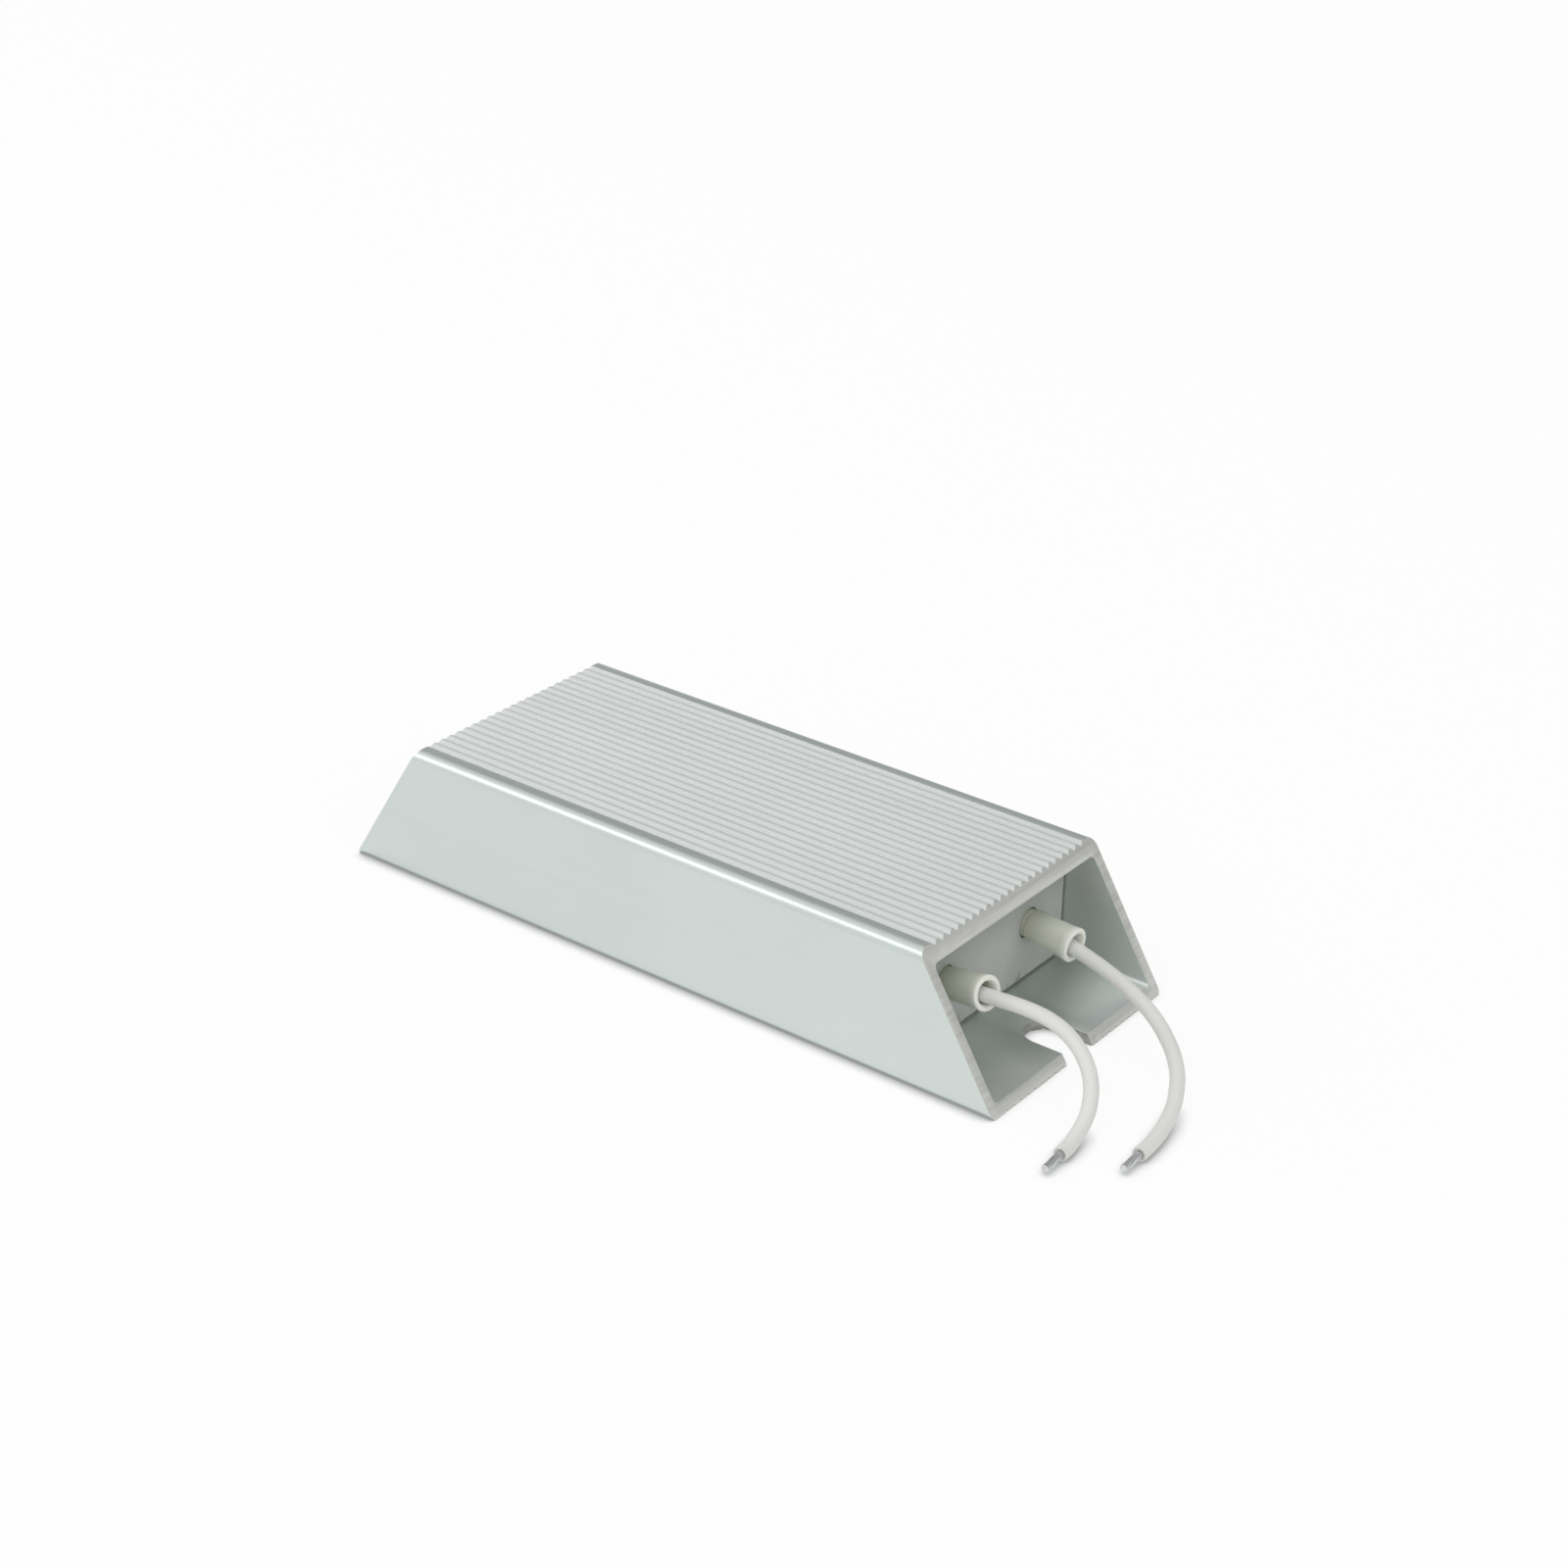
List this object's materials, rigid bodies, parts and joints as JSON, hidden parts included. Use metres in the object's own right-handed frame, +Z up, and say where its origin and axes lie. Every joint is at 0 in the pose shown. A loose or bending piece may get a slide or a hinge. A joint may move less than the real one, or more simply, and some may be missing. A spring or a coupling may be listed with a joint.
{
  "type": "aluminium housed power resistor",
  "caption": "Wire-wound power resistor in a ribbed aluminium extrusion with slanting ends, open fixing slots and two short braided leads leaving one end.",
  "frame": {"origin": "centre of the housing's base face, which is bolted to the heat sink or panel", "axes": "+X along the housing towards the end that the leads leave, +Y across it, +Z up from the base through the ribbed top"},
  "size_m": [0.1942, 0.0688, 0.03],
  "materials": {
    "anodised_aluminium": "satin",
    "end_board": "matte",
    "quartz_cement": "matte",
    "rod_ceramic": "matte",
    "resistance_wire": "satin",
    "cap_steel": "satin",
    "crimp_brass": "satin",
    "bare_copper": "satin",
    "tinned_copper": "satin",
    "sleeve_ceramic": "matte",
    "glass_braid": "matte"
  },
  "bodies": {
    "root": {"housing": "anodised_aluminium", "lead_end_board": "end_board", "rear_end_board": "end_board", "cement_filling": "quartz_cement", "rod_near": "rod_ceramic", "rod_far": "rod_ceramic", "winding_near": "resistance_wire", "winding_far": "resistance_wire", "front_cap_near": "cap_steel", "front_cap_far": "cap_steel", "rear_cap_near": "cap_steel", "rear_cap_far": "cap_steel", "series_strap": "cap_steel", "crimp_near": "crimp_brass", "crimp_far": "crimp_brass", "conductor_near": "bare_copper", "conductor_far": "bare_copper", "sleeve_near": "sleeve_ceramic", "sleeve_far": "sleeve_ceramic", "lead_near": "glass_braid", "lead_far": "glass_braid", "lead_tip_near": "tinned_copper", "lead_tip_far": "tinned_copper"}
  },
  "joints": []
}
